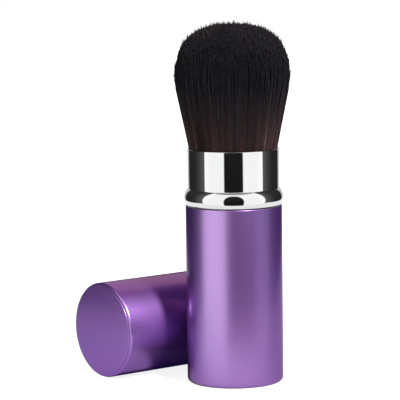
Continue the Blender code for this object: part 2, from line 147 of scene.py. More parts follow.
# Where these take over, by height above the collar's mouth and by how strands differ
# The crown's painted shade: darker towards the dome's top, where more light falls
PAINTED_CROWN_SHADE_RISE = (0.018, 0.036)
FOOT_RISE = (0.022, -0.002)
FOOT_POWER = 1.4
BROWN_BY_CLUMP = (0.45, 1.20)
BROWN_BY_STRAND = (0.55, 1.45)
PALE_STRANDS = (1.70, 1.90)
PALE_SHARE = 0.75
PALE_POWER = 1.5
TIP_POWER = 3.0
PROUD_TIP_POWER = 9.0
BRISTLE_ROUGHNESS = (0.42, 0.62)

# Patterns: noise lies mostly between these
NOISE_RANGE = (0.3, 0.7)

# Table
FLOOR_REACH = 1.6
TABLE_HALF_WIDTH = 0.215
TABLE_FRONT = 0.11
TABLE_EDGE = (0.85, 1.15)
# Where its parts begin and where they are full: the front by depth, the sides by width
TABLE_RAMPS = {"front": (0.004, -0.040), "left": (0.010, -0.070), "right": (0.004, 0.050)}

# Grey of the floor and the light that it gives off, as different rays meet it
FLOOR_SEEN = (0.30, 0.86)
FLOOR_IN_MIRROR = (0.25, 0.42)
FLOOR_FOR_MATT = (0.70, 0.05)
# Its colour for a satin finish
FLOOR_FOR_SATIN = (0.26, 0.22, 0.285, 1.0)

# What a mirror sees: cards with a dark gap between them, by degrees of turn from the camera's
# side to the right and degrees of rise. A band has a low turn, a high turn and a blur. Other
# pairs of angles tell where something begins and where it is full.
CARDS_BAND = (-76.5, 78.0, 1.5)
CARDS_TOP = (56.0, 60.0)
GAP_TURN = 0.3
GAP_HALF_WIDTH = 23.3
GAP_HEIGHT = 45.0
GAP_SIDE_POWER = 3.0
GAP_TOP_POWER = 2.0
GAP_EDGE = (0.86, 1.25)
CARD_GLOW = 1.07
CEILING_GLOW = 0.3
BACK_TURN = (144.0, 152.0)
BACK_GLOW = 0.6
SIDES_TURN = (55.0, 75.0)
BY_CARD_TURN = (118.0, 82.0)
SIDES_GLOW = (0.010, 0.08)
DARK_RISE = (-5.0, 30.0)
DARK_GLOW = (0.012, 0.02)

# What a satin finish sees: bands in front, backs on both sides, a rear, the rise at which the
# ceiling takes over, and the rise at which the rear turns into a wall
SOFT_BANDS = {
    "left card": (-79.0, -19.0, 4.0),
    "front": (-19.0, 52.0, 6.0),
    "right card": (52.0, 92.0, 8.0),
}
SOFT_BACKS = {"right back": (82.0, 102.0), "left back": (-70.0, -88.0)}
SOFT_REAR = (138.0, 162.0)
SOFT_TOP = (50.0, 64.0)
REAR_WALL_RISE = (0.0, 20.0)
# The strengths of its parts, as red, green and blue
ROOM_LIGHTS = {
    "left card": (1.46, 1.66, 1.38),
    "front": (0.01, 0.01, 0.02),
    "right card": (0.34, 0.38, 0.43),
    "right back": (0.04, 0.035, 0.10),
    "left back": (0.01, 0.01, 0.04),
    "rear": (0.01, 0.01, 0.02),
    "rear wall": (0.65, 0.42, 0.49),
    "ceiling": (0.25, 0.05, 0.26),
}
# What it sees of the table, beside the light that falls there
TABLE_LIGHTS = {
    "left": (0.42, 0.66, 0.42),
    "middle": (0.48, 0.53, 0.45),
    "right": (0.24, 0.28, 0.20),
    "by the cap": (0.01, 0.0, 0.09),
}
# What lights a matt surface, from the front and from behind
MATT_LIGHTS = (0.35, 1.15)

# Lamp, as turned from the camera's side towards the right and raised, and the share of it that
# counts where one piece mirrors another
LAMP_STRENGTH = 6.1
LAMP_SPREAD = math.radians(6.0)
LAMP_TURN = math.radians(37.5)
LAMP_RISE = math.radians(46.5)
MIRRORED_LAMP = 0.23

WHITE = (1.0, 1.0, 1.0, 1.0)


def low_high(name):
    low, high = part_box(name)
    return Vector(low), Vector(high)


case_high = low_high("case_shell")[1]
cup_high = low_high("brush_cup")[1]
collar_low, collar_high = low_high("chrome_collar")
tube_low, tube_high = low_high("sleeve_tube")
cap_low, cap_high = low_high("cap_shell")
liner_low, liner_high = low_high("cap_liner")
bush_low, bush_high = low_high("mouth_bush")
tuft_low, tuft_high = low_high("bristle_tuft")

mouth_z = collar_high.z
collar_z = collar_low.z
bead_reach = collar_high.x
collar_radius = tube_high.x + COLLAR_SEAT + COLLAR_WALL
tube_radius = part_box("foot_ring")[1][0] - FOOT_LIP
cap_radius = (cap_high.y - cap_low.y) / 2
cap_liner_radius = (liner_high.y - liner_low.y) / 2
cap_liner_bore = cap_liner_radius - CAP_LINER_WALL


# Node helpers


def add(tree, kind, inputs=None, **settings):
    """Adds a node. inputs maps a socket's name or number to a value or to another socket."""
    made = tree.nodes.new(kind)
    for key, value in settings.items():
        setattr(made, key, value)
    for key, value in (inputs or {}).items():
        if isinstance(value, bpy.types.NodeSocket):
            tree.links.new(value, made.inputs[key])
        else:
            made.inputs[key].default_value = value
    return made


def maths(tree, operation, *values, clamp=False):
    inputs = dict(enumerate(values))
    return add(tree, "ShaderNodeMath", inputs, operation=operation, use_clamp=clamp).outputs[0]


def product(tree, first, *others):
    for value in others:
        first = maths(tree, "MULTIPLY", first, value)
    return first


def total(tree, first, *others):
    for value in others:
        first = maths(tree, "ADD", first, value)
    return first


def rest_of(tree, share, clamp=False):
    """What a share leaves of one."""
    return maths(tree, "SUBTRACT", 1.0, share, clamp=clamp)


def ramp_between(tree, value, low, high, to_low=0.0, to_high=1.0, smooth=True):
    inputs = {
        "Value": value,
        "From Min": low,
        "From Max": high,
        "To Min": to_low,
        "To Max": to_high,
    }
    kind = "SMOOTHSTEP" if smooth else "LINEAR"
    return add(tree, "ShaderNodeMapRange", inputs, interpolation_type=kind).outputs[0]


def band(tree, value, low, high, blur):
    """One between low and high and none outside, with blurred borders."""
    up = ramp_between(tree, value, low - blur, low + blur)
    down = ramp_between(tree, value, high - blur, high + blur, 1.0, 0.0)
    return product(tree, up, down)


def axes(tree, vector):
    return add(tree, "ShaderNodeSeparateXYZ", {0: vector}).outputs


def rotated(tree, vector, angle):
    """A vector turned about Z."""
    inputs = {"Vector": vector, "Angle": angle}
    return add(tree, "ShaderNodeVectorRotate", inputs, rotation_type="Z_AXIS").outputs[0]


def scaled(tree, vector, scale):
    inputs = {0: vector, "Scale": scale}
    return add(tree, "ShaderNodeVectorMath", inputs, operation="SCALE").outputs[0]


def vector_maths(tree, operation, first, second):
    inputs = {0: first, 1: second}
    return add(tree, "ShaderNodeVectorMath", inputs, operation=operation).outputs[0]


def mix_colour(tree, share, first, second):
    made = add(tree, "ShaderNodeMix", data_type="RGBA")
    sockets = {s.identifier: s for s in made.inputs}
    for key, value in {"Factor_Float": share, "A_Color": first, "B_Color": second}.items():
        if isinstance(value, bpy.types.NodeSocket):
            tree.links.new(value, sockets[key])
        else:
            sockets[key].default_value = value
    return next(s for s in made.outputs if s.identifier == "Result_Color")


def mix_shader(tree, share, first, second):
    return add(tree, "ShaderNodeMixShader", {0: share, 1: first, 2: second}).outputs[0]


def colour(red, green, blue):
    """A colour given as it shows on a screen, 0 to 255, as the linear colour that nodes take."""

    def linear(level):
        level /= 255.0
        return level / 12.92 if level <= 0.04045 else ((level + 0.055) / 1.055) ** 2.4

    return (linear(red), linear(green), linear(blue), 1.0)


# Shader groups


def new_group(name, inputs, outputs):
    """An empty shader group. inputs maps a name to (socket type, value), and outputs maps a name
    to a socket type."""
    tree = bpy.data.node_groups.new(name, "ShaderNodeTree")
    for label, (kind, value) in inputs.items():
        socket = tree.interface.new_socket(label, in_out="INPUT", socket_type=kind)
        if value is not None:
            socket.default_value = value
    for label, kind in outputs.items():
        tree.interface.new_socket(label, in_out="OUTPUT", socket_type=kind)
    return tree, tree.nodes.new("NodeGroupInput"), tree.nodes.new("NodeGroupOutput")


def noise(tree, vector, size, detail):
    """Noise with features of about this size."""
    scale = maths(tree, "DIVIDE", 1.0, size)
    inputs = {"Vector": vector, "Scale": scale, "Detail": detail}
    return add(tree, "ShaderNodeTexNoise", inputs).outputs["Fac"]


def make_grain_group():
    """Fine pits and broad unevenness of a surface, from a point on the piece."""
    tree, given, result = new_group(
        "surface_grain",
        {
            "Vector": ("NodeSocketVector", None),
            "Pit Size": ("NodeSocketFloat", 0.0002),
            "Cloud Size": ("NodeSocketFloat", 0.01),
        },
        {"Pits": "NodeSocketFloat", "Clouds": "NodeSocketFloat"},
    )
    for label, size, detail in (("Pits", "Pit Size", 2.0), ("Clouds", "Cloud Size", 3.0)):
        made = noise(tree, given.outputs["Vector"], given.outputs[size], detail)
        tree.links.new(made, result.inputs[label])
    return tree


def make_lines_group():
    """Fine lines that a tool or a brush leaves along a piece, stretched by a vector."""
    tree, given, result = new_group(
        "tool_lines",
        {
            "Vector": ("NodeSocketVector", None),
            "Stretch": ("NodeSocketVector", (1.0, 1.0, 1.0)),
            "Line Size": ("NodeSocketFloat", 0.0003),
        },
        {"Lines": "NodeSocketFloat"},
    )
    stretched = vector_maths(
        tree, "MULTIPLY", given.outputs["Vector"], given.outputs["Stretch"]
    )
    made = noise(tree, stretched, given.outputs["Line Size"], 3.0)
    tree.links.new(made, result.inputs["Lines"])
    return tree


GRAIN = make_grain_group()
LINES = make_lines_group()


# Materials


def new_material(name):
    material = bpy.data.materials.new(name)
    material.use_nodes = True
    tree = material.node_tree
    shader = tree.nodes["Principled BSDF"]
    place = tree.nodes.new("ShaderNodeTexCoord").outputs["Object"]
    return material, tree, shader, place


def grain(tree, place, pit_size, cloud_size):
    inputs = {"Vector": place, "Pit Size": pit_size, "Cloud Size": cloud_size}
    group = add(tree, "ShaderNodeGroup", inputs, node_tree=GRAIN)
    return group.outputs["Pits"], group.outputs["Clouds"]


def lines(tree, place, stretch, line_size):
    inputs = {"Vector": place, "Stretch": stretch, "Line Size": line_size}
    return add(tree, "ShaderNodeGroup", inputs, node_tree=LINES).outputs["Lines"]


def bump(tree, shader, height, strength, distance):
    inputs = {"Height": height, "Strength": strength, "Distance": distance}
    made = add(tree, "ShaderNodeBump", inputs)
    tree.links.new(made.outputs["Normal"], shader.inputs["Normal"])


def vary_roughness(tree, shader, pattern, roughness, spread):
    """A roughness that follows a pattern, by spread to either side."""
    varied = ramp_between(tree, pattern, *NOISE_RANGE, roughness - spread, roughness + spread)
    tree.links.new(varied, shader.inputs["Roughness"])


def darkened(tint, share):
    return tuple(share * level for level in tint[:3]) + (1.0,)


def make_purple(name, darker, lighter, roughness):
    """Satin anodised aluminium: a dyed metal under a thin clear layer."""
    material, tree, shader, place = new_material(name)
    pits, clouds = grain(tree, place, pit_size=0.00012, cloud_size=0.012)
    tree.links.new(mix_colour(tree, clouds, darker, lighter), shader.inputs["Base Color"])
    vary_roughness(tree, shader, pits, roughness, spread=0.03)
    shader.inputs["Metallic"].default_value = 1.0
    shader.inputs["Coat Weight"].default_value = 1.0
    shader.inputs["Coat Roughness"].default_value = 0.22
    shader.inputs["Coat IOR"].default_value = 1.6
    shader.inputs["Specular Tint"].default_value = (0.20, 0.12, 0.30, 1.0)
    bump(tree, shader, pits, strength=0.12, distance=0.00001)
    return material


def make_chrome():
    """Polished chrome: a true mirror, with the faint waviness that buffing leaves."""
    material, tree, shader, place = new_material("mirror_chrome")
    buffed = lines(tree, place, stretch=(1.0, 1.0, 0.12), line_size=0.0025)
    clouds = grain(tree, place, pit_size=0.00025, cloud_size=0.006)[1]
    tone = mix_colour(tree, clouds, (0.79, 0.79, 0.80, 1.0), (0.86, 0.86, 0.865, 1.0))
    tree.links.new(tone, shader.inputs["Base Color"])
    shader.inputs["Roughness"].default_value = 0.0
    shader.inputs["Metallic"].default_value = 1.0
    bump(tree, shader, buffed, strength=0.06, distance=0.00001)
    return material


def make_metal(name, tint, roughness, stretch, line_size):
    """Bare metal with the lines of drawing or turning."""
    material, tree, shader, place = new_material(name)
    marks = lines(tree, place, stretch, line_size)
    tone = mix_colour(tree, marks, darkened(tint, 0.88), tint)
    tree.links.new(tone, shader.inputs["Base Color"])
    vary_roughness(tree, shader, marks, roughness, spread=0.05)
    shader.inputs["Metallic"].default_value = 1.0
    bump(tree, shader, marks, strength=0.15, distance=0.00002)
    return material


def make_plastic(name, tint, roughness):
    """Moulded plastic, rubber or resin, with a faint unevenness."""
    material, tree, shader, place = new_material(name)
    pits, clouds = grain(tree, place, pit_size=0.00025, cloud_size=0.004)
    tone = mix_colour(tree, clouds, darkened(tint, 0.85), tint)
    tree.links.new(tone, shader.inputs["Base Color"])
    vary_roughness(tree, shader, pits, roughness, spread=0.06)
    bump(tree, shader, pits, strength=0.2, distance=0.00002)
    return material


def make_bristle():
    """Dyed filament: near black, and darker still at the crown by painted shade against the
    stronger light on the dome's top; dark red-brown low down, with paler strands among it.
    """
    material, tree, shader, place = new_material("dyed_bristle")

    def from_strand(label):
        return add(tree, "ShaderNodeAttribute", attribute_name=label).outputs["Fac"]

    tints = {part: colour(*levels) for part, levels in BRISTLE_COLOURS.items()}
    height = axes(tree, place)["Z"]
    shade = from_strand("shade")
    clump = from_strand("clump short")

    # Painted shade: darker towards the crown, against the light that falls more on the dome's top
    painted_crown_shade = ramp_between(tree, height, *(mouth_z + rise for rise in PAINTED_CROWN_SHADE_RISE))
    black = mix_colour(tree, painted_crown_shade, tints["black"], tints["painted_crown_shade"])

    depth = ramp_between(tree, height, *(mouth_z + rise for rise in FOOT_RISE), smooth=False)
    lowness = maths(tree, "POWER", depth, FOOT_POWER)
    by_clump = ramp_between(tree, clump, 0.0, 1.0, *BROWN_BY_CLUMP)
    by_strand = ramp_between(tree, shade, 0.0, 1.0, *BROWN_BY_STRAND)
    uneven = product(tree, lowness, product(tree, by_clump, by_strand))
    brown = mix_colour(tree, uneven, black, tints["foot"])

    rare = ramp_between(tree, total(tree, clump, shade), *PALE_STRANDS, 0.0, PALE_SHARE)
    pale = product(tree, maths(tree, "POWER", lowness, PALE_POWER), rare)
    streaked = mix_colour(tree, pale, brown, tints["pale strand"])

    at_tip = maths(tree, "POWER", from_strand("tip"), TIP_POWER)
    proud = maths(tree, "POWER", from_strand("clump length"), PROUD_TIP_POWER)
    tone = mix_colour(tree, product(tree, at_tip, proud), streaked, tints["proud tip"])
    tree.links.new(tone, shader.inputs["Base Color"])
    roughness = ramp_between(tree, shade, 0.0, 1.0, *BRISTLE_ROUGHNESS)
    tree.links.new(roughness, shader.inputs["Roughness"])
    shader.inputs["Specular IOR Level"].default_value = 0.12
    return material


PURPLE = make_purple(
    "satin_purple", (0.385, 0.185, 0.56, 1.0), (0.41, 0.20, 0.595, 1.0), roughness=0.385
)
BRIGHT_EDGE = make_purple(
    "bright_edge", (0.38, 0.17, 0.57, 1.0), (0.42, 0.20, 0.62, 1.0), roughness=0.32
)
CHROME = make_chrome()
ALUMINIUM = make_metal(
    "drawn_aluminium",
    (0.72, 0.73, 0.75, 1.0),
    roughness=0.22,
    stretch=(0.02, 0.02, 1.0),
    line_size=0.0002,
)
STEEL = make_metal(
    "plated_steel",
    (0.55, 0.55, 0.56, 1.0),
    roughness=0.30,
    stretch=(1.0, 1.0, 1.0),
    line_size=0.0004,
)
BLACK_PLASTIC = make_plastic("black_plastic", (0.02, 0.02, 0.022, 1.0), roughness=0.45)
WHITE_PLASTIC = make_plastic("natural_plastic", (0.75, 0.75, 0.73, 1.0), roughness=0.40)
SILICONE = make_plastic("silicone", (0.10, 0.10, 0.11, 1.0), roughness=0.60)
RESIN = make_plastic("resin", (0.45, 0.30, 0.12, 1.0), roughness=0.25)
BRISTLE = make_bristle()


# Turned pieces


def arc(centre, radius, start, end, segments):
    """Points (r, z) of an arc about centre, from start to end in degrees, both ends kept."""
    angles = [math.radians(start + (end - start) * i / segments) for i in range(segments + 1)]
    return [(centre[0] + radius * math.cos(a), centre[1] + radius * math.sin(a)) for a in angles]


def turned(name, profile, material, place=Matrix.Identity(4), edge=None, edge_bands=()):
    """Turns a profile of (r, z) points about Z and puts it in place. A profile that starts and
    ends on the axis makes a cup, and any other closes on itself as a ring. edge_bands numbers
    the bands between points of the profile that get the finish edge."""
    bm = bmesh.new()
    rings = []
    for r, z in profile:
        if r == 0.0:
            rings.append([bm.verts.new((0.0, 0.0, z))] * TURN_SEGMENTS)
            continue
        turns = [math.tau * i / TURN_SEGMENTS for i in range(TURN_SEGMENTS)]
        rings.append([bm.verts.new((r * math.cos(a), r * math.sin(a), z)) for a in turns])
    pairs = list(zip(rings, rings[1:]))
    if profile[0][0] > 0.0:
        pairs.append((rings[-1], rings[0]))
    for number, (upper, lower) in enumerate(pairs):
        for i in range(TURN_SEGMENTS):
            j = (i + 1) % TURN_SEGMENTS
            corners = [upper[i], lower[i], lower[j], upper[j]]
            face = bm.faces.new(list(dict.fromkeys(corners)))
            face.material_index = int(number in edge_bands)
    bmesh.ops.recalc_face_normals(bm, faces=bm.faces)
    bm.transform(place)
    mesh = bpy.data.meshes.new(name)
    bm.to_mesh(mesh)
    bm.free()
    mesh.materials.append(material)
    if edge:
        mesh.materials.append(edge)
    mesh.shade_smooth()
    mesh.set_sharp_from_angle(angle=SMOOTH_ANGLE)
    piece = bpy.data.objects.new(name, mesh)
    bpy.context.scene.collection.objects.link(piece)
    return piece


def rim(outer, inner, z):
    """The rounded edge of an open tube, from its bore over to its outside."""
    radius = min(RIM_RADIUS, (outer - inner) / 2)
    inside = arc((inner + radius, z - radius), radius, 180.0, 90.0, RIM_SEGMENTS)
    outside = arc((outer - radius, z - radius), radius, 90.0, 0.0, RIM_SEGMENTS)
    return [*inside, *outside]


def cup(radius, length, wall, floor, edge):
    """Profile of a tube that is closed at z 0 and open at z length. Its outer edge comes last,
    before the middle of the closed end."""
    bore = radius - wall
    inner_edge = max(edge - wall, RIM_RADIUS)
    corner = (bore - inner_edge, floor + inner_edge)
    inside = arc(corner, inner_edge, -90.0, 0.0, INNER_EDGE_SEGMENTS)
    outside = arc((radius - edge, edge), edge, 0.0, -90.0, EDGE_SEGMENTS)
    return [(0.0, floor), *inside, *rim(radius, bore, length), *outside, (0.0, 0.0)]


def make_case():
    profile = cup(case_high.x, case_high.z, SHELL_WALL, SHELL_FLOOR, CASE_EDGE_RADIUS)
    shell = turned("satin_case", profile, PURPLE)
    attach(shell, "case")
    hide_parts("case_shell")


def make_bush():
    """The bush that shows as a pale ring in the case's mouth when the sleeve is up."""
    outer = bush_high.x
    bore = tube_radius + TUBE_GAP
    profile = [*rim(outer, bore, bush_high.z), (outer, bush_low.z), (bore, bush_low.z)]
    ring = turned("guide_bush", profile, WHITE_PLASTIC)
    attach(ring, "case")
    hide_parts("mouth_bush")


def make_collar():
    """Ferrule and bead in one: straight wall, small fillet, full bead and turned-in underside."""
    bead = (bead_reach - BEAD_RADIUS, collar_z + BEAD_DROP)
    # The fillet touches the wall and the bead, which it meets at the angle top
    across = collar_radius + BEAD_FILLET - bead[0]
    up = math.sqrt((BEAD_RADIUS + BEAD_FILLET) ** 2 - across**2)
    top = math.degrees(math.atan2(up, across))
    fillet = (collar_radius + BEAD_FILLET, bead[1] + up)
    # The corner touches the bead from inside at the angle low, and the flat underside
    corner_z = collar_z + BEAD_CORNER
    reach = BEAD_RADIUS - BEAD_CORNER
    low = math.degrees(math.asin((corner_z - bead[1]) / reach))
    corner = (bead[0] + reach * math.cos(math.radians(low)), corner_z)
    # The wall's inner face
    inner = BEAD_RADIUS - COLLAR_WALL
    floor_z = collar_z + COLLAR_WALL
    inner_low = math.degrees(math.asin((floor_z - bead[1]) / inner))
    bore = collar_radius - COLLAR_WALL
    under = tube_radius + TUBE_GAP
    profile = [
        *rim(collar_radius, bore, mouth_z),
        *arc(fillet, BEAD_FILLET, 180.0, 180.0 + top, segments=14),
        *arc(bead, BEAD_RADIUS, top, low, segments=36)[1:],
        *arc(corner, BEAD_CORNER, low, -90.0, segments=8)[1:],
        (under, collar_z),
        (under, floor_z),
        *arc(bead, inner, inner_low, top, segments=12),
        *arc(fillet, BEAD_FILLET + COLLAR_WALL, 180.0 + top, 180.0, segments=6)[1:],
    ]
    collar = turned("bright_collar", profile, CHROME)
    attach(collar, "sleeve")
    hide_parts("chrome_collar")


def make_tube():
    """The long tube of the sleeve, with a step in under the collar."""
    step_z = collar_z + TUBE_STEP_RISE
    wide_z = step_z + TUBE_STEP_HEIGHT
    top = tube_high.x
    profile = [
        *rim(top, top - TUBE_WALL, tube_high.z),
        (top, wide_z),
        (tube_radius, step_z),
        (tube_radius, tube_low.z),
        (tube_radius - TUBE_WALL, tube_low.z),
        (tube_radius - TUBE_WALL, step_z),
        (top - TUBE_WALL, wide_z),
    ]
    tube = turned("bright_sleeve", profile, ALUMINIUM)
    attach(tube, "sleeve")
    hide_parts("sleeve_tube")


def make_cap():
    """The cap on its side, its closed end a face that stands a fine step proud of the edge."""
    centre = (cap_low + cap_high) / 2
    lying = Matrix.Rotation(math.pi / 2, 4, "Y")
    place = Matrix.Translation((cap_low.x, centre.y, centre.z)) @ lying
    length = cap_high.x - cap_low.x
    profile = cup(cap_radius, length, CAP_WALL, CAP_END, CAP_EDGE_RADIUS)[:-1]
    edge_start = len(profile) - (EDGE_SEGMENTS + 1)
    edge = [(r, z + CAP_FACE_STEP) for r, z in profile[edge_start:]]
    face_foot = (CAP_FACE_RADIUS + CAP_FACE_EDGE, CAP_FACE_STEP)
    face = arc((CAP_FACE_RADIUS, CAP_FACE_EDGE), CAP_FACE_EDGE, 0.0, -90.0, segments=5)
    profile = [*profile[:edge_start], *edge, face_foot, *face, (0.0, 0.0)]
    edge_bands = range(edge_start, len(profile) - 2)
    shell = turned("satin_cap", profile, PURPLE, place, BRIGHT_EDGE, edge_bands)
    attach(shell, "cap")
    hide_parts("cap_shell")

    start = liner_low.x - cap_low.x
    end = liner_high.x - cap_low.x
    profile = [
        (0.0, start + CAP_END),
        (cap_liner_bore, start + CAP_END),
        *rim(cap_liner_radius, cap_liner_bore, end),
        (cap_liner_radius, start),
        (0.0, start),
    ]
    liner = turned("pale_cap_liner", profile, WHITE_PLASTIC, place)
    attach(liner, "cap")
    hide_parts("cap_liner")


# Bristles

BRISTLE_NUMBERS = (
    "Sector Turn",
    "Sector Width",
    "Root Radius",
    "Root Height",
    "Lip Height",
    "Mouth Radius",
    "Mouth Height",
    "Widest Radius",
    "Widest Height",
    "Dome Height",
    "Dome Power",
    "Strand Radius",
    "Length Scatter",
    "Splay Scatter",
    "Clump Size",
    "Clump Length",
    "Clump Pull",
    "Short Length",
    "Loose Splay",
)


def new_bristle_tree():
    """An empty Geometry Nodes tree with the named inputs that the bristles take."""
    tree = bpy.data.node_groups.new("bristle_sector", "GeometryNodeTree")
    kinds = {
        "Geometry": "NodeSocketGeometry",
        "Strands": "NodeSocketInt",
        **dict.fromkeys(BRISTLE_NUMBERS, "NodeSocketFloat"),
        "Seed": "NodeSocketInt",
        "Material": "NodeSocketMaterial",
    }
    for label, kind in kinds.items():
        tree.interface.new_socket(label, in_out="INPUT", socket_type=kind)
    tree.interface.new_socket("Geometry", in_out="OUTPUT", socket_type="NodeSocketGeometry")
    given = tree.nodes.new("NodeGroupInput").outputs
    return tree, given, tree.nodes.new("NodeGroupOutput").inputs


def store(tree, geometry, values):
    """Stores each value on the geometry's points under its name."""
    for label, value in values.items():
        inputs = {"Geometry": geometry, "Name": label, "Value": value}
        geometry = add(
            tree, "GeometryNodeStoreNamedAttribute", inputs, data_type="FLOAT", domain="POINT"
        ).outputs[0]
    return geometry


def held(tree, label):
    """A value that was stored under a name."""
    inputs = {"Name": label}
    return add(tree, "GeometryNodeInputNamedAttribute", inputs, data_type="FLOAT").outputs[0]


def clump_values(tree, given, share, turn):
    """What a strand takes from its clump. Strands gather in small clumps at their tips. A clump is
    a cell about the axis, and each has its own length."""
    wide = product(tree, share, given["Widest Radius"])
    flat = rotated(tree, add(tree, "ShaderNodeCombineXYZ", {0: wide}).outputs[0], turn)
    per_clump = scaled(tree, flat, maths(tree, "DIVIDE", 1.0, given["Clump Size"]))
    inputs = {"Vector": per_clump, "Scale": 1.0}
    cells = add(tree, "ShaderNodeTexVoronoi", inputs, voronoi_dimensions="2D").outputs
    tint = axes(tree, cells["Color"])
    apart = vector_maths(tree, "SUBTRACT", cells["Position"], per_clump)
    inward = axes(tree, rotated(tree, apart, product(tree, turn, -1.0)))
    return {
        "clump length": tint["X"],
        "clump short": tint["Y"],
        "clump splay": tint["Z"],
        "clump gap": cells["Distance"],
        "to clump": inward["X"],
        "round to clump": inward["Y"],
    }


def strand_points(tree, given):
    """A point for each strand, which holds where the strand stands, as a share of the radius and
    a turn about the axis, and how it differs from the others."""

    def scatter(low, high, offset):
        seed = total(tree, given["Seed"], float(offset))
        inputs = {2: low, 3: high, "Seed": seed}
        return add(tree, "FunctionNodeRandomValue", inputs, data_type="FLOAT").outputs[1]

    index = tree.nodes.new("GeometryNodeInputIndex").outputs[0]
    filled = maths(tree, "DIVIDE", total(tree, index, 0.5), given["Strands"])
    share = maths(tree, "SQRT", filled)
    golden = maths(tree, "FRACT", product(tree, index, GOLDEN_SHARE))
    within = product(tree, maths(tree, "SUBTRACT", golden, 0.5), given["Sector Width"])
    turn = total(tree, within, given["Sector Turn"])
    points = add(tree, "GeometryNodePoints", {"Count": given["Strands"]}).outputs[0]
    values = {
        "share": share,
        "turn": turn,
        "shade": scatter(0.0, 1.0, 0),
        "length": scatter(-1.0, 1.0, 1),
        "splay": scatter(-1.0, 1.0, 2),
        "sway": scatter(-1.0, 1.0, 3),
        **clump_values(tree, given, share, turn),
    }
    return store(tree, points, values)


def unit_strands(tree, points):
    """One straight strand, a unit long and a unit in radius, on every point."""
    inputs = {
        "Vertices": STRAND_SIDES,
        "Side Segments": STRAND_SEGMENTS,
        "Radius": 1.0,
        "Depth": 1.0,
    }
    strand = add(tree, "GeometryNodeMeshCylinder", inputs, fill_type="NGON").outputs[0]
    placed = add(tree, "GeometryNodeInstanceOnPoints", {"Points": points, "Instance": strand})
    return add(tree, "GeometryNodeRealizeInstances", {0: placed.outputs[0]}).outputs[0]


def tip_height(tree, given, outer):
    """Height of a strand's tip. Every strand is a little longer or shorter than the dome, some
    clumps stand proud of it, and the outermost end at all heights below it."""
    share = held(tree, "share")
    below = rest_of(tree, maths(tree, "POWER", share, given["Dome Power"]), clamp=True)
    dome = maths(tree, "POWER", below, maths(tree, "DIVIDE", 1.0, given["Dome Power"]))
    full = maths(tree, "MULTIPLY_ADD", dome, given["Dome Height"], given["Widest Height"])
    full = maths(tree, "MULTIPLY_ADD", held(tree, "length"), given["Length Scatter"], full)
    slope = product(tree, held(tree, "clump gap"), PROUD_SLOPE)
    peak = maths(tree, "SUBTRACT", PROUD_TOP, slope, clamp=True)
    proud = product(tree, maths(tree, "POWER", held(tree, "clump length"), PROUD_POWER), peak)
    at_side = maths(tree, "POWER", share, SIDE_POWER)
    proud = maths(tree, "MULTIPLY_ADD", proud, at_side, proud)
    full = maths(tree, "MULTIPLY_ADD", proud, given["Clump Length"], full)
    shorter = product(tree, outer, held(tree, "clump short"), given["Short Length"])
    return maths(tree, "SUBTRACT", full, shorter)


def ring_height(tree, given, along, outer):
    """Height of a ring of the strand, and its share of the free length from mouth to tip."""
    mouth, lip = given["Mouth Height"], given["Lip Height"]
    run = ramp_between(tree, along, 2 * STRAND_STEP, 1.0, smooth=False)
    left = maths(tree, "POWER", rest_of(tree, run), RING_CROWDING)
    free_share = rest_of(tree, left)
    to_lip = ramp_between(
        tree, along, 0.0, STRAND_STEP, given["Root Height"], lip, smooth=False
    )
    rise = maths(tree, "SUBTRACT", mouth, lip)
    to_mouth = ramp_between(tree, along, STRAND_STEP, 2 * STRAND_STEP, 0.0, rise, smooth=False)
    free = maths(tree, "SUBTRACT", tip_height(tree, given, outer), mouth)
    height = total(tree, to_lip, to_mouth, product(tree, free_share, free))
    return height, free_share


def outline_radius(tree, given, height):
    """How far the outermost strands stand from the axis at a height, and how far they have spread
    there from the mouth to the widest place, 0 to 1."""
    mouth, lip, widest = given["Mouth Height"], given["Lip Height"], given["Widest Height"]
    risen = ramp_between(tree, height, lip, mouth, smooth=False)
    to_mouth = maths(tree, "SUBTRACT", given["Mouth Radius"], given["Root Radius"])
    inside = maths(tree, "MULTIPLY_ADD", risen, to_mouth, given["Root Radius"])
    flared = ramp_between(tree, height, mouth, widest, 1.0, 0.0, smooth=False)
    spread = rest_of(tree, maths(tree, "POWER", flared, FLARE_POWER))
    to_widest = maths(tree, "SUBTRACT", given["Widest Radius"], given["Mouth Radius"])
    return maths(tree, "MULTIPLY_ADD", spread, to_widest, inside), spread


def ring_centre(tree, given, outline, free_share, outer):
    """Where the middle of a ring lies, outward from the axis and aside. Towards the tip it drifts
    at random, is drawn to the middle of its clump, and stands off if its clump is a loose one."""
    bend = product(tree, free_share, free_share)
    drift = product(tree, bend, given["Splay Scatter"])
    pull = product(tree, given["Clump Pull"], given["Clump Size"], bend)
    loose = product(tree, maths(tree, "POWER", held(tree, "clump splay"), LOOSE_POWER), outer)
    stray = product(tree, bend, given["Loose Splay"])
    outward = product(tree, held(tree, "share"), outline)
    outward = maths(tree, "MULTIPLY_ADD", held(tree, "splay"), drift, outward)
    outward = maths(tree, "MULTIPLY_ADD", held(tree, "to clump"), pull, outward)
    outward = maths(tree, "MULTIPLY_ADD", loose, stray, outward)
    aside = product(tree, held(tree, "sway"), drift)
    aside = maths(tree, "MULTIPLY_ADD", held(tree, "round to clump"), pull, aside)
    return outward, aside


def ring_size(tree, given, free_share, spread):
    """Radius of a ring: fuller in the belly, and drawn to a point at the tip."""
    point = rest_of(tree, maths(tree, "POWER", free_share, POINT_POWER), clamp=True)
    belly = maths(tree, "MULTIPLY_ADD", spread, BELLY_SWELL, 1.0 - BELLY_SWELL)
    size = product(tree, point, belly, given["Strand Radius"])
    return maths(tree, "MAXIMUM", size, product(tree, given["Strand Radius"], BLUNTEST_POINT))


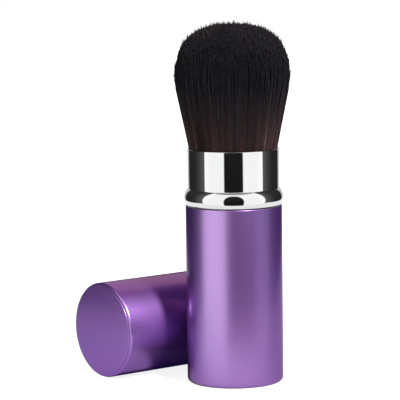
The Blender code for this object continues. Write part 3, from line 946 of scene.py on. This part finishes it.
def make_bristle_tree():
    """Grows one sector of the tuft: fine tapered strands that rise from the cup, flare out of
    the collar and end on a dome."""
    tree, given, result = new_bristle_tree()
    grown = unit_strands(tree, strand_points(tree, given))
    unit = axes(tree, tree.nodes.new("GeometryNodeInputPosition").outputs[0])
    along = total(tree, unit["Z"], 0.5)
    outer = maths(tree, "POWER", held(tree, "share"), OUTER_POWER)
    height, free_share = ring_height(tree, given, along, outer)
    outline, spread = outline_radius(tree, given, height)
    outward, aside = ring_centre(tree, given, outline, free_share, outer)
    size = ring_size(tree, given, free_share, spread)
    inputs = {
        0: maths(tree, "MULTIPLY_ADD", unit["X"], size, outward),
        1: maths(tree, "MULTIPLY_ADD", unit["Y"], size, aside),
        2: height,
    }
    local = add(tree, "ShaderNodeCombineXYZ", inputs).outputs[0]
    in_place = rotated(tree, local, held(tree, "turn"))
    tipped = store(tree, grown, {"tip": ramp_between(tree, along, 1.0 - STRAND_STEP, 1.0)})
    inputs = {"Geometry": tipped, "Position": in_place}
    moved = add(tree, "GeometryNodeSetPosition", inputs).outputs[0]
    smooth = add(tree, "GeometryNodeSetShadeSmooth", {"Geometry": moved}).outputs[0]
    inputs = {"Geometry": smooth, "Material": given["Material"]}
    dressed = add(tree, "GeometryNodeSetMaterial", inputs).outputs[0]
    tree.links.new(dressed, result[0])
    return tree


def grown_piece(name, tree, values):
    """A piece with the plain mesh that a Geometry Nodes tree makes from these named inputs."""
    piece = bpy.data.objects.new(name, bpy.data.meshes.new(name))
    bpy.context.scene.collection.objects.link(piece)
    modifier = piece.modifiers.new("Grow", "NODES")
    modifier.node_group = tree
    sockets = {s.name: s.identifier for s in tree.interface.items_tree if s.in_out == "INPUT"}
    for label, value in values.items():
        modifier[sockets[label]] = value
    graph = bpy.context.evaluated_depsgraph_get()
    mesh = bpy.data.meshes.new_from_object(piece.evaluated_get(graph))
    piece.modifiers.remove(modifier)
    piece.data = mesh
    return piece


def make_tuft():
    """The tuft in sectors, each a piece of its own. On the real brush the sleeve gathers the tuft
    towards the axis as it slides up.
    """
    tree = make_bristle_tree()
    width = math.tau / SECTOR_COUNT
    for k in range(SECTOR_COUNT):
        turn = k * width
        sector = grown_piece(
            f"bristles_{k + 1:02d}",
            tree,
            {
                "Strands": STRANDS_PER_SECTOR,
                "Sector Turn": turn,
                "Sector Width": width,
                "Root Radius": tube_radius - TUBE_WALL - ROOT_INSET,
                "Root Height": tuft_low.z + ROOT_RISE,
                "Lip Height": cup_high.z,
                "Mouth Radius": collar_radius - COLLAR_WALL - MOUTH_GAP,
                "Mouth Height": mouth_z - MOUTH_DROP,
                "Widest Radius": tuft_high.x - TUFT_INSET,
                "Widest Height": mouth_z + TUFT_RISE,
                "Dome Height": tuft_high.z - mouth_z - TUFT_RISE - TUFT_INSET,
                "Dome Power": DOME_POWER,
                "Strand Radius": STRAND_RADIUS,
                "Length Scatter": LENGTH_SCATTER,
                "Splay Scatter": SPLAY_SCATTER,
                "Clump Size": CLUMP_SIZE,
                "Clump Length": CLUMP_LENGTH,
                "Clump Pull": CLUMP_PULL,
                "Short Length": SHORT_LENGTH,
                "Loose Splay": LOOSE_SPLAY,
                "Seed": SEEDS_APART * k,
                "Material": BRISTLE,
            },
        )
        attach(sector, "case")
        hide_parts("bristle_tuft")
        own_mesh(sector)


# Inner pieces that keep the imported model's own shape


def finish_inner_pieces():
    finishes = {
        "base_weight": STEEL,
        "screw_washer": STEEL,
        "post_screw": STEEL,
        "cup_screw": STEEL,
        "case_liner": BLACK_PLASTIC,
        "core_post": BLACK_PLASTIC,
        "collar_core": BLACK_PLASTIC,
        "foot_ring": WHITE_PLASTIC,
        "drag_ring_lower": SILICONE,
        "drag_ring_upper": SILICONE,
        "resin_plug": RESIN,
        "brush_cup": ALUMINIUM,
        "binding_band": ALUMINIUM,
    }
    for name, material in finishes.items():
        nodes[name].material_slots[0].material = material


# Studio


def seen_from_camera(tree, vector):
    """The parts of a vector, with X to the camera's right and Y away from it."""
    return axes(tree, rotated(tree, vector, CAMERA_TURN))


def sum_of_tints(tree, parts, lights):
    """Adds up the light of several parts, each a share of 0 to 1 with its own tint."""
    whole = None
    for label, share in parts.items():
        tinted = scaled(tree, lights[label], share)
        whole = tinted if whole is None else vector_maths(tree, "ADD", whole, tinted)
    return whole


def glowing(tree, tint, glow_tint, glow=1.0):
    """A matt surface that gives off light of its own too."""
    lit = add(tree, "ShaderNodeBsdfDiffuse", {"Color": tint})
    own = add(tree, "ShaderNodeEmission", {"Color": glow_tint, "Strength": glow})
    return add(tree, "ShaderNodeAddShader", {0: lit.outputs[0], 1: own.outputs[0]}).outputs[0]


def glowing_grey(tree, grey, glow):
    return glowing(tree, (grey, grey, grey, 1.0), WHITE, glow)


def table_glow(tree, across, deep):
    """The table's light for a satin finish, brighter in front of the brush, and by its parts."""
    front = ramp_between(tree, deep, *TABLE_RAMPS["front"])
    left = ramp_between(tree, across, *TABLE_RAMPS["left"])
    right = ramp_between(tree, across, *TABLE_RAMPS["right"])
    middle = maths(tree, "SUBTRACT", rest_of(tree, left), right, clamp=True)
    shares = {"left": left, "middle": middle, "right": right}
    parts = {part: product(tree, front, share) for part, share in shares.items()}
    parts["by the cap"] = product(tree, rest_of(tree, front), left)
    return sum_of_tints(tree, parts, TABLE_LIGHTS)


def beyond_table(tree, across, deep):
    """One past the table's rounded edge and none on it."""
    wide = maths(tree, "DIVIDE", across, TABLE_HALF_WIDTH)
    near = maths(tree, "DIVIDE", maths(tree, "MINIMUM", deep, 0.0), TABLE_FRONT)
    reach = total(tree, product(tree, wide, wide), product(tree, near, near))
    return ramp_between(tree, reach, *TABLE_EDGE)


def make_floor():
    """A floor that the camera sees as white as the background, less a faint shadow. A reflection
    shows it as a pale table of the table's own size."""
    mesh = bpy.data.meshes.new("floor")
    bm = bmesh.new()
    bmesh.ops.create_grid(bm, x_segments=1, y_segments=1, size=FLOOR_REACH)
    bm.to_mesh(mesh)
    bm.free()
    floor = bpy.data.objects.new("floor", mesh)
    bpy.context.scene.collection.objects.link(floor)
    material = bpy.data.materials.new("pale_floor")
    material.use_nodes = True
    material.cycles.emission_sampling = "NONE"
    tree = material.node_tree
    tree.nodes.clear()
    out = tree.nodes.new("ShaderNodeOutputMaterial")
    path = tree.nodes.new("ShaderNodeLightPath").outputs
    place = seen_from_camera(tree, tree.nodes.new("ShaderNodeTexCoord").outputs["Object"])
    across, deep = place["X"], place["Y"]

    satin = glowing(tree, FLOOR_FOR_SATIN, table_glow(tree, across, deep))
    mirrored = glowing_grey(tree, *FLOOR_IN_MIRROR)
    clear = tree.nodes.new("ShaderNodeBsdfTransparent").outputs[0]
    gloss = mix_shader(tree, path["Is Singular Ray"], satin, mirrored)
    gloss = mix_shader(tree, beyond_table(tree, across, deep), gloss, clear)
    matt = glowing_grey(tree, *FLOOR_FOR_MATT)
    met = mix_shader(tree, path["Is Glossy Ray"], matt, gloss)
    seen = glowing_grey(tree, *FLOOR_SEEN)
    mixed = mix_shader(tree, path["Is Camera Ray"], met, seen)
    tree.links.new(mixed, out.inputs["Surface"])
    mesh.materials.append(material)
    return floor


def mirror_view(tree, turn, rise):
    """How bright the room is in a mirror: sharp cards with a dark gap between them, a ceiling, a
    bright back, and dim sides that lighten towards the cards."""
    away = maths(tree, "ABSOLUTE", turn)
    below_top = ramp_between(tree, rise, *CARDS_TOP, 1.0, 0.0)
    wide = product(tree, band(tree, turn, *CARDS_BAND), below_top)
    off_middle = maths(tree, "ABSOLUTE", maths(tree, "SUBTRACT", turn, GAP_TURN))
    aside = maths(tree, "DIVIDE", off_middle, GAP_HALF_WIDTH)
    aside = maths(tree, "POWER", aside, GAP_SIDE_POWER)
    up = maths(tree, "DIVIDE", maths(tree, "MAXIMUM", rise, 0.0), GAP_HEIGHT)
    off_gap = total(tree, aside, maths(tree, "POWER", up, GAP_TOP_POWER))
    cards = product(tree, wide, ramp_between(tree, off_gap, *GAP_EDGE, 0.0, CARD_GLOW))
    ceiling = product(tree, rest_of(tree, below_top), CEILING_GLOW)
    back = product(tree, ramp_between(tree, away, *BACK_TURN), BACK_GLOW)
    by_card = ramp_between(tree, away, *BY_CARD_TURN, smooth=False)
    least, most = SIDES_GLOW
    side_glow = total(tree, product(tree, by_card, by_card, most), least)
    sides = product(tree, side_glow, ramp_between(tree, away, *SIDES_TURN))
    dark = total(tree, ramp_between(tree, rise, *DARK_RISE, *DARK_GLOW), sides)
    return total(tree, cards, ceiling, back, dark)


def satin_view(tree, turn, rise):
    """What a satin finish sees of the room: soft cards, walls and ceiling, each with its tint."""
    away = maths(tree, "ABSOLUTE", turn)
    low = ramp_between(tree, rise, *SOFT_TOP, 1.0, 0.0)
    raised = ramp_between(tree, rise, *REAR_WALL_RISE)
    behind = ramp_between(tree, away, *SOFT_REAR)
    beside = product(tree, low, rest_of(tree, behind))
    parts = {}
    for part, where in SOFT_BANDS.items():
        parts[part] = product(tree, band(tree, turn, *where), low)
    for part, where in SOFT_BACKS.items():
        parts[part] = product(tree, ramp_between(tree, turn, *where), beside)
    parts["rear"] = product(tree, behind, low, rest_of(tree, raised))
    parts["rear wall"] = product(tree, behind, low, raised)
    parts["ceiling"] = rest_of(tree, low)
    return sum_of_tints(tree, parts, ROOM_LIGHTS)


def make_world():
    """A white room behind the brush, a soft box on each side, and dark between them. A mirror
    sees the cards sharply, a satin finish sees them softly, and matt surfaces get plain light,
    more from the white room behind than from the front."""
    world = bpy.data.worlds.new("studio")
    bpy.context.scene.world = world
    world.use_nodes = True
    world.cycles.sampling_method = "NONE"
    tree = world.node_tree
    tree.nodes.clear()
    out = tree.nodes.new("ShaderNodeOutputWorld")
    path = tree.nodes.new("ShaderNodeLightPath").outputs
    way = seen_from_camera(tree, tree.nodes.new("ShaderNodeTexCoord").outputs["Generated"])
    around = maths(tree, "ARCTAN2", way["X"], product(tree, way["Y"], -1.0))
    turn = product(tree, around, math.degrees(1.0))
    rise = product(tree, maths(tree, "ARCSINE", way["Z"]), math.degrees(1.0))

    def background(tint, strength):
        inputs = {"Color": tint, "Strength": strength}
        return add(tree, "ShaderNodeBackground", inputs).outputs[0]

    soft = background(satin_view(tree, turn, rise), 1.0)
    sharp = background(WHITE, mirror_view(tree, turn, rise))
    plain = background(WHITE, ramp_between(tree, way["Y"], -1.0, 1.0, *MATT_LIGHTS, smooth=False))
    gloss = mix_shader(tree, path["Is Singular Ray"], soft, sharp)
    lit = mix_shader(tree, path["Is Diffuse Ray"], gloss, plain)
    mixed = mix_shader(tree, path["Is Camera Ray"], lit, background(WHITE, 1.0))
    tree.links.new(mixed, out.inputs["Surface"])


def make_lamp(name, direct, mirrored):
    """A soft lamp high on the right, with its share of what is seen directly and in a
    reflection. The mirror's own picture of it is left out."""
    data = bpy.data.lights.new(name, "SUN")
    data.energy = LAMP_STRENGTH
    data.angle = LAMP_SPREAD
    data.cycles.use_multiple_importance_sampling = False
    data.use_nodes = True
    tree = data.node_tree
    tree.nodes.clear()
    depth = tree.nodes.new("ShaderNodeLightPath").outputs["Ray Depth"]
    share = ramp_between(tree, depth, 1.0, 2.0, direct, mirrored, smooth=False)
    glow = add(tree, "ShaderNodeEmission", {"Strength": share})
    out = tree.nodes.new("ShaderNodeOutputLight")
    tree.links.new(glow.outputs[0], out.inputs["Surface"])
    lamp = bpy.data.objects.new(name, data)
    bpy.context.scene.collection.objects.link(lamp)
    lamp.matrix_world = (
        Matrix.Rotation(LAMP_TURN - CAMERA_TURN, 4, "Z")
        @ Matrix.Rotation(math.pi / 2 - LAMP_RISE, 4, "X")
    )
    return lamp


def make_lamps(floor):
    """The key lamp is weaker where one piece mirrors another. The table lamp makes up for it on
    the floor alone, so that the table is lit in full there too."""
    make_lamp("key_lamp", 1.0, MIRRORED_LAMP)
    table_lamp = make_lamp("table_lamp", 0.0, 1.0 - MIRRORED_LAMP)
    lit = bpy.data.collections.new("table_lamp_lit")
    lit.objects.link(floor)
    table_lamp.light_linking.receiver_collection = lit


def make_camera():
    data = bpy.data.cameras.new("camera")
    data.lens = CAMERA_LENS
    data.sensor_width = CAMERA_SENSOR
    data.clip_start, data.clip_end = CAMERA_CLIP
    camera = bpy.data.objects.new("camera", data)
    bpy.context.scene.collection.objects.link(camera)
    about = Matrix.Rotation(-CAMERA_TURN, 4, "Z")
    place = about @ Vector((0.0, -CAMERA_DISTANCE, CAMERA_HEIGHT))
    aim = (
        Matrix.Rotation(-CAMERA_TURN - CAMERA_YAW, 4, "Z")
        @ Matrix.Rotation(math.pi / 2 - CAMERA_PITCH, 4, "X")
        @ Matrix.Rotation(CAMERA_ROLL, 4, "Z")
    )
    camera.matrix_world = Matrix.Translation(place) @ aim
    bpy.context.scene.camera = camera


make_camera()
make_world()
make_lamps(make_floor())
make_case()
make_bush()
make_collar()
make_tube()
make_cap()
make_tuft()
finish_inner_pieces()

bpy.context.scene.view_settings.view_transform = "Standard"
